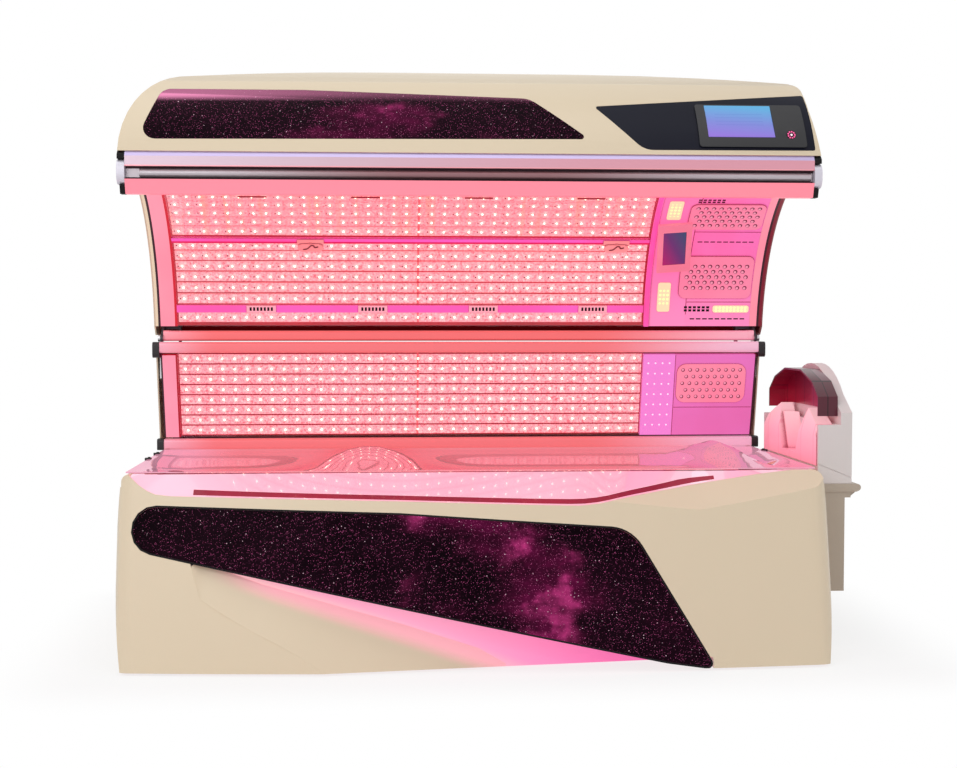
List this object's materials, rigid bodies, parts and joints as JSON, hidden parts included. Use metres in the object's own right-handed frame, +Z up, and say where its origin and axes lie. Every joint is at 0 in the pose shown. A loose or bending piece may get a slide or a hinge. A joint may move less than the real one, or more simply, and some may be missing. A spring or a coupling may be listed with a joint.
{
  "type": "tanning bed",
  "caption": "Clamshell tanning bed: contoured acrylic bench in a leaning base, side lamp panel, arched lamp canopy that swings down on a rear hinge, and a hooded head unit.",
  "frame": {"origin": "centre of the whole footprint, on the floor", "axes": "+X along the bed towards the head end, +Y from the open front to the hinge side, +Z up"},
  "size_m": [2.449, 1.2981, 1.961],
  "materials": {
    "cover": "satin",
    "trim": "glossy",
    "rubber": "matt",
    "black": "satin",
    "silver": "satin anodised",
    "steel": "satin",
    "zinc": "brushed",
    "acrylic": "clear",
    "lamp": "glowing",
    "reflector": "bright",
    "pink": "satin, lit from behind",
    "magenta": "satin, lit from behind",
    "red": "glossy",
    "hood": "glossy tinted",
    "fascia": "glossy",
    "screen": "glossy",
    "electronics": "matt",
    "pan": "satin",
    "housing": "satin"
  },
  "bodies": {
    "base": {"base_frame": "steel", "levelling_feet": "rubber", "floor_pan": "pan", "front_cover": "cover", "front_trim_panel": "trim", "front_trim_seal": "rubber", "recess_light_panel": "pink", "left_end_cover": "cover", "right_end_cover": "cover", "rear_cover": "cover", "bench_reflector": "reflector", "bench_lamps": "lamp", "bench_acrylic": "acrylic", "front_deck": "pink", "deck_air_strip": "red", "deck_grommets": "red", "acrylic_clamps": "black", "side_reflector": "reflector", "side_rails": "silver", "side_rail_caps": "black", "side_lamps": "lamp", "side_acrylic": "acrylic", "side_cheek": "pink", "side_speaker_panel": "magenta", "side_rear_cover": "cover", "hinge_brackets": "zinc", "hinge_pins": "zinc", "power_supplies": "electronics", "base_fan_housing": "black", "mains_inlet": "black", "head_shelf": "cover", "head_housing": "housing", "head_cradle": "pink", "head_hood": "hood"},
    "canopy": {"canopy_shell": "cover", "canopy_trim_panel": "trim", "control_fascia": "fascia", "display_bezel": "black", "display_screen": "screen", "front_rail": "silver", "front_rail_caps": "silver", "front_rail_seals": "rubber", "canopy_rear_rail": "silver", "canopy_frame": "steel", "canopy_reflector": "reflector", "canopy_lamps": "lamp", "canopy_dividers": "magenta", "acrylic_latches": "pink", "canopy_acrylic": "acrylic", "vent_bar": "magenta", "canopy_cheeks": "pink", "face_panel": "magenta", "face_pads": "pink", "light_strips": "lamp", "head_tablet": "magenta"},
    "drive_tube": {"drive_tubes": "steel"},
    "drive_spindle": {"drive_spindles": "zinc"},
    "base_fan": {"base_fan_rotor": "black"},
    "canopy_fan": {"canopy_fan_rotor": "black"},
    "start_button": {"start_button": "red"}
  },
  "joints": [
    {"name": "canopy_lift", "type": "hinge", "parent": "base", "child": "canopy", "pos_m": [0, 0.35111, 1.03], "axis": [1, 0, 0], "range_deg": [0, 50]},
    {"name": "drive_swing", "type": "hinge", "parent": "base", "child": "drive_tube", "pos_m": [0, 0.55911, 0.4], "axis": [1, 0, 0], "range_deg": [-4, 1]},
    {"name": "drive_extend", "type": "slide", "parent": "drive_tube", "child": "drive_spindle", "axis": [0, -0.2362, 0.9717], "range_m": [-0.002, 0.072]},
    {"name": "button_press", "type": "slide", "parent": "canopy", "child": "start_button", "axis": [0, 0.8775, -0.4796], "range_m": [0, 0.0015], "stiffness_N_per_m": 900, "springref_m": -0.001},
    {"name": "base_fan_spin", "type": "hinge", "parent": "base", "child": "base_fan", "pos_m": [0.4205, 0.08911, 0.1], "axis": [0, 0, 1], "continuous": true},
    {"name": "canopy_fan_spin", "type": "hinge", "parent": "canopy", "child": "canopy_fan", "pos_m": [-0.0795, 0.24605, 1.45025], "axis": [0, 0.7431, 0.6691], "continuous": true}
  ],
  "couplings": [
    {"joint": "drive_swing", "follows": "canopy_lift", "ratio": -0.06371},
    {"joint": "drive_extend", "follows": "canopy_lift", "m_per_rad": 0.07765}
  ]
}
